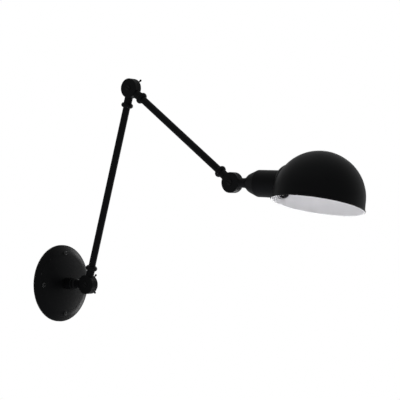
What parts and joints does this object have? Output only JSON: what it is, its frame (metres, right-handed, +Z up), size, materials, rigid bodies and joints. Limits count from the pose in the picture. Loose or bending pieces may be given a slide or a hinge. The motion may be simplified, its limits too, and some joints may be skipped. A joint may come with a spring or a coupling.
{
  "type": "articulating wall lamp",
  "caption": "Wall lamp on two hinged tube arms, with a round wall rose that swivels and a dome shade on a tilting, turning lampholder cup.",
  "frame": {"origin": "centre of the mounting plate's back face, in the wall plane", "axes": "+Y into the wall, the lamp reaches out along -Y, +Z up, +X to the right when facing the wall; the arms' hinges turn about X"},
  "size_m": [0.1424, 0.6015, 0.4123],
  "materials": {
    "black_paint": "satin black",
    "blackened_steel": "blackened, semi-gloss",
    "zinc_steel": "zinc plated",
    "brass": "bright",
    "black_nylon": "matt",
    "white_nylon": "matt",
    "porcelain": "opaque glazed porcelain"
  },
  "bodies": {
    "wall_mount": {"mounting_plate": "zinc_steel", "plate_pillars": "zinc_steel", "wall_rose": "black_paint", "rose_screws": "blackened_steel", "terminal_block": "white_nylon", "terminal_sleeves": "brass", "terminal_screws": "brass", "terminal_fixing_screw": "zinc_steel", "earth_screw": "brass", "earth_washer": "zinc_steel", "base_turret": "black_paint", "base_stop_pin": "zinc_steel"},
    "base_swivel": {"base_knuckle": "black_paint", "base_ferrule": "black_paint", "base_swivel_disc": "black_nylon", "base_stop_washer": "zinc_steel", "base_tail_spring_washer": "zinc_steel", "base_locknut": "zinc_steel"},
    "lower_arm": {"lower_arm_heel_knuckle": "black_paint", "lower_arm_heel_ferrule": "black_paint", "lower_arm_tube": "black_paint", "lower_arm_elbow_ferrule": "black_paint", "lower_arm_elbow_knuckle": "black_paint", "base_pivot_bolt": "blackened_steel", "base_friction_ring": "black_nylon", "base_pivot_washer": "blackened_steel", "base_spring_washer": "blackened_steel", "elbow_pivot_bolt": "blackened_steel", "elbow_friction_ring": "black_nylon", "elbow_pivot_washer": "blackened_steel", "elbow_spring_washer": "blackened_steel"},
    "base_wing_nut": {"base_wing_nut": "blackened_steel"},
    "elbow_wing_nut": {"elbow_wing_nut": "blackened_steel"},
    "upper_arm": {"upper_arm_elbow_knuckle": "black_paint", "upper_arm_elbow_ferrule": "black_paint", "upper_arm_tube": "black_paint", "upper_arm_head_ferrule": "black_paint", "upper_arm_head_knuckle": "black_paint"},
    "head_tilt": {"head_knuckle": "black_paint", "head_pivot_bolt": "blackened_steel", "head_friction_ring": "black_nylon", "head_pivot_washer": "blackened_steel", "head_spring_washer": "blackened_steel", "head_swivel_disc": "black_nylon", "head_stop_washer": "zinc_steel", "head_tail_spring_washer": "zinc_steel", "head_locknut": "zinc_steel"},
    "head_wing_nut": {"head_wing_nut": "blackened_steel"},
    "head": {"lampholder_cup": "black_paint", "head_stop_pin": "zinc_steel", "holder_bridge": "zinc_steel", "holder_insert": "porcelain", "holder_screws": "zinc_steel", "screw_shell": "brass", "centre_contact": "brass", "holder_terminals": "brass", "shade_ring": "black_paint", "shade": "black_paint"}
  },
  "joints": [
    {"name": "base_swivel_turn", "type": "hinge", "parent": "wall_mount", "child": "base_swivel", "pos_m": [0, -0.024, 0], "axis": [0, -1, 0], "range_deg": [-158, 158]},
    {"name": "base_hinge", "type": "hinge", "parent": "base_swivel", "child": "lower_arm", "pos_m": [0, -0.0643, 0], "axis": [-1, 0, 0], "range_deg": [-163.7, 16.3]},
    {"name": "elbow_hinge", "type": "hinge", "parent": "lower_arm", "child": "upper_arm", "pos_m": [0, -0.16068, 0.3296], "axis": [1, 0, 0], "range_deg": [-236.2, 13.8]},
    {"name": "head_hinge", "type": "hinge", "parent": "upper_arm", "child": "head_tilt", "pos_m": [0, -0.36917, 0.16961], "axis": [-1, 0, 0], "range_deg": [-160.1, 89.9]},
    {"name": "head_swivel_turn", "type": "hinge", "parent": "head_tilt", "child": "head", "pos_m": [0, -0.36917, 0.16961], "axis": [0, -0.9991, -0.0419], "range_deg": [-150, 175]},
    {"name": "base_wing_nut_turn", "type": "hinge", "parent": "lower_arm", "child": "base_wing_nut", "pos_m": [0, -0.0643, 0], "axis": [1, 0, 0], "range_deg": [0, 180]},
    {"name": "elbow_wing_nut_turn", "type": "hinge", "parent": "lower_arm", "child": "elbow_wing_nut", "pos_m": [0, -0.16068, 0.3296], "axis": [1, 0, 0], "range_deg": [0, 180]},
    {"name": "head_wing_nut_turn", "type": "hinge", "parent": "head_tilt", "child": "head_wing_nut", "pos_m": [0, -0.36917, 0.16961], "axis": [1, 0, 0], "range_deg": [0, 180]}
  ]
}
